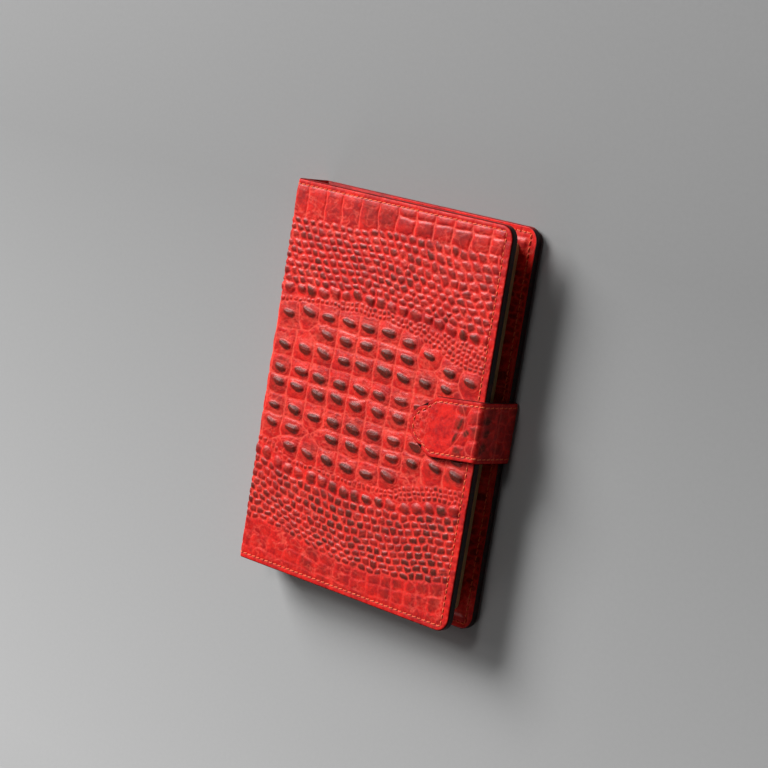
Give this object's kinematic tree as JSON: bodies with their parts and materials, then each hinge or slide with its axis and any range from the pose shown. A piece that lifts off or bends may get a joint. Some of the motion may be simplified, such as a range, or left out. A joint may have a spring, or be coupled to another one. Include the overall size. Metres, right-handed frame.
{
  "type": "leather notebook cover",
  "caption": "Crocodile-embossed leather notebook cover holding a card-bound notebook, with a folding spine, inside pockets and a wrap-over strap with a hidden magnet.",
  "frame": {"origin": "centre of the bounding box in X and Y, at its lowest face, which is the outer face of the strap's sewn end under the back cover", "axes": "the closed cover lies on its back cover: +X from the spine to the fore-edge, +Y up the page, +Z out of the front cover"},
  "size_m": [0.1668, 0.22, 0.0291],
  "materials": {
    "croc_leather": "glossy, crocodile-embossed, dark-tipped scales",
    "lining_leather": "smooth satin",
    "board": "matt fibre board",
    "seam_thread": "waxed polyester, satin",
    "page_paper": "uncoated cream",
    "card_stock": "matt kraft card",
    "spine_cloth": "fine book cloth",
    "keeper_steel": "plain sheet steel",
    "magnet_nickel": "nickel plated"
  },
  "bodies": {
    "back_cover": {"outer_back": "croc_leather", "board_back": "board", "lining_back": "lining_leather", "pocket_back": "croc_leather", "stitching_back": "seam_thread", "strap_anchor": "croc_leather", "stitching_anchor": "seam_thread", "notebook_back_card": "card_stock", "page_block": "page_paper", "notebook_spine_tape": "spine_cloth"},
    "spine": {"outer_spine": "croc_leather", "lining_spine": "lining_leather", "stitching_spine": "seam_thread"},
    "front_cover": {"outer_front": "croc_leather", "board_front": "board", "lining_front": "lining_leather", "pocket_front": "croc_leather", "stitching_front": "seam_thread", "front_keeper": "keeper_steel", "notebook_front_card": "card_stock"},
    "strap_side": {"strap_side_outer": "croc_leather", "strap_side_lining": "lining_leather", "stitching_strap_side": "seam_thread"},
    "strap_tip": {"strap_tip_outer": "croc_leather", "strap_tip_lining": "lining_leather", "stitching_strap_tip": "seam_thread", "strap_magnet": "magnet_nickel"}
  },
  "joints": [
    {"name": "spine_fold", "type": "hinge", "parent": "back_cover", "child": "spine", "pos_m": [-0.083, 0, 0.0013], "axis": [0, -1, 0], "range_deg": [0, 90]},
    {"name": "front_fold", "type": "hinge", "parent": "spine", "child": "front_cover", "pos_m": [-0.083, 0, 0.0253], "axis": [0, -1, 0], "range_deg": [0, 90]},
    {"name": "strap_lower_bend", "type": "hinge", "parent": "back_cover", "child": "strap_side", "pos_m": [0.0817, 0, 0.0013], "axis": [0, 1, 0], "range_deg": [0, 90]},
    {"name": "strap_upper_bend", "type": "hinge", "parent": "strap_side", "child": "strap_tip", "pos_m": [0.0817, 0, 0.0274], "axis": [0, 1, 0], "range_deg": [0, 90]}
  ]
}
